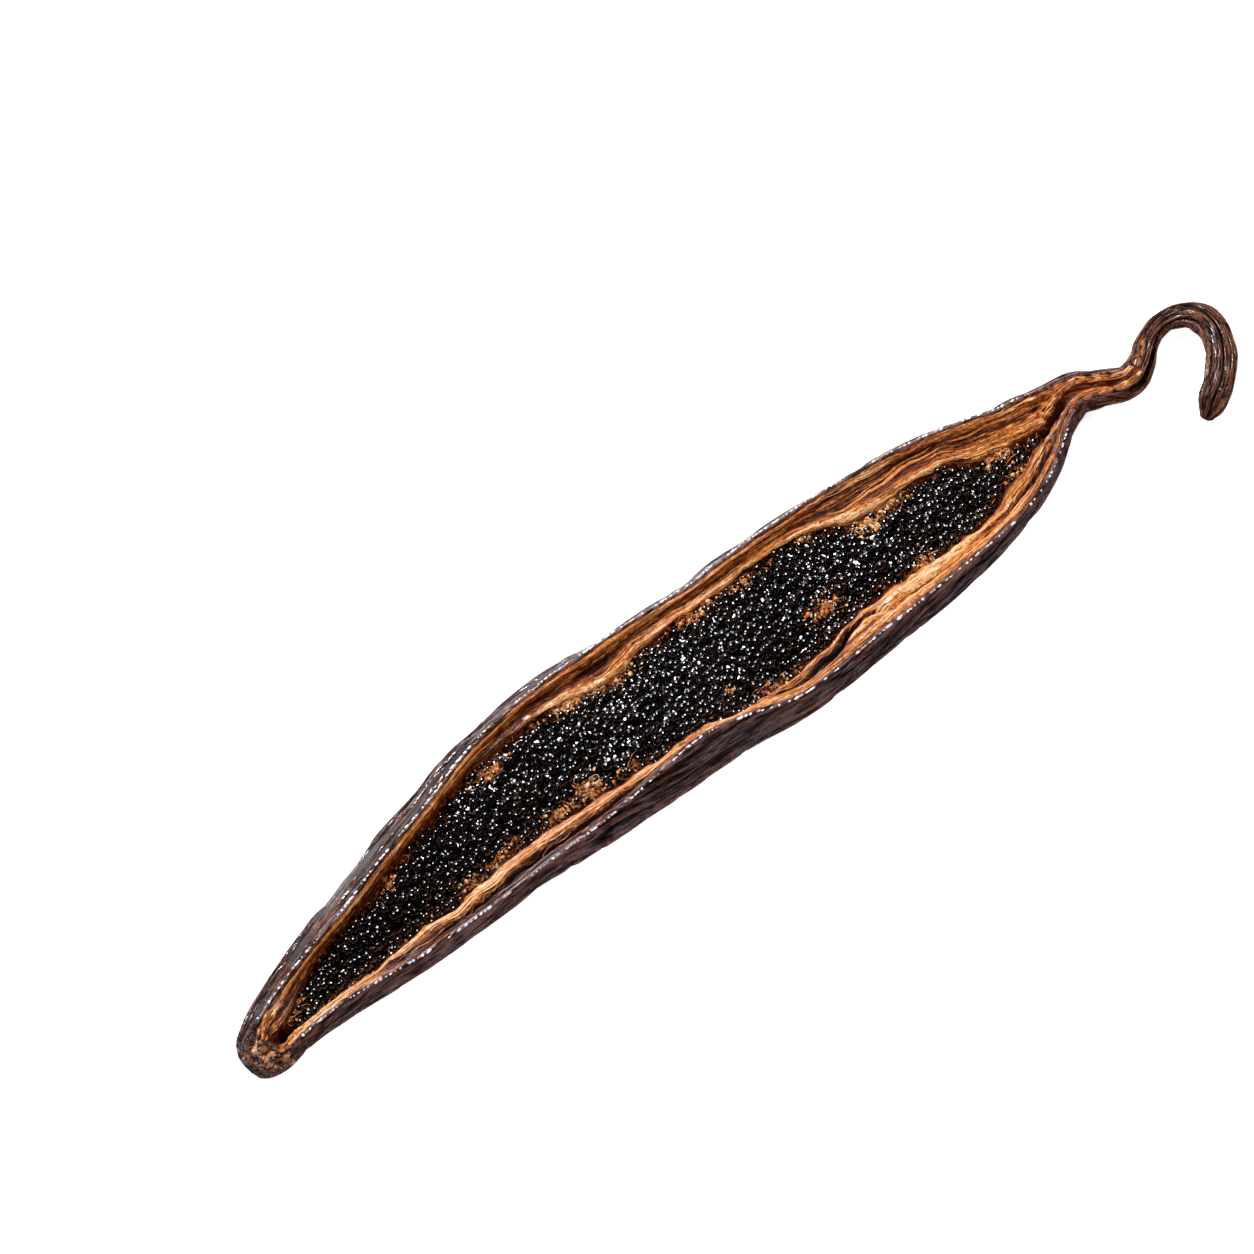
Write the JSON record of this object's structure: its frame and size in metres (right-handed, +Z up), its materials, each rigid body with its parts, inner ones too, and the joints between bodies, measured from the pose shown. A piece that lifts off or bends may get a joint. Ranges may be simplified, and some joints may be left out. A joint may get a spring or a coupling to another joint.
{
  "type": "vanilla pod",
  "caption": "Vanilla pod split open along its length, with a leathery wrinkled husk, a curled stem end, soft pale flesh along the rims and a bed of tiny black seeds.",
  "frame": {"origin": "middle of the pod's footprint, on the surface that the pod lies on", "axes": "+X along the pod from its blunt end to its curled stem end, +Z up out of the split"},
  "size_m": [0.1496, 0.026, 0.0127],
  "materials": {
    "husk_skin": "dark brown wrinkled skin with an oily satin sheen",
    "flesh": "pale tan fibrous flesh, slightly moist",
    "seeds": "glossy near-black grains"
  },
  "bodies": {
    "root": {"husk": "husk_skin", "flesh_lining": "flesh", "seed_mass": "seeds"}
  },
  "joints": []
}
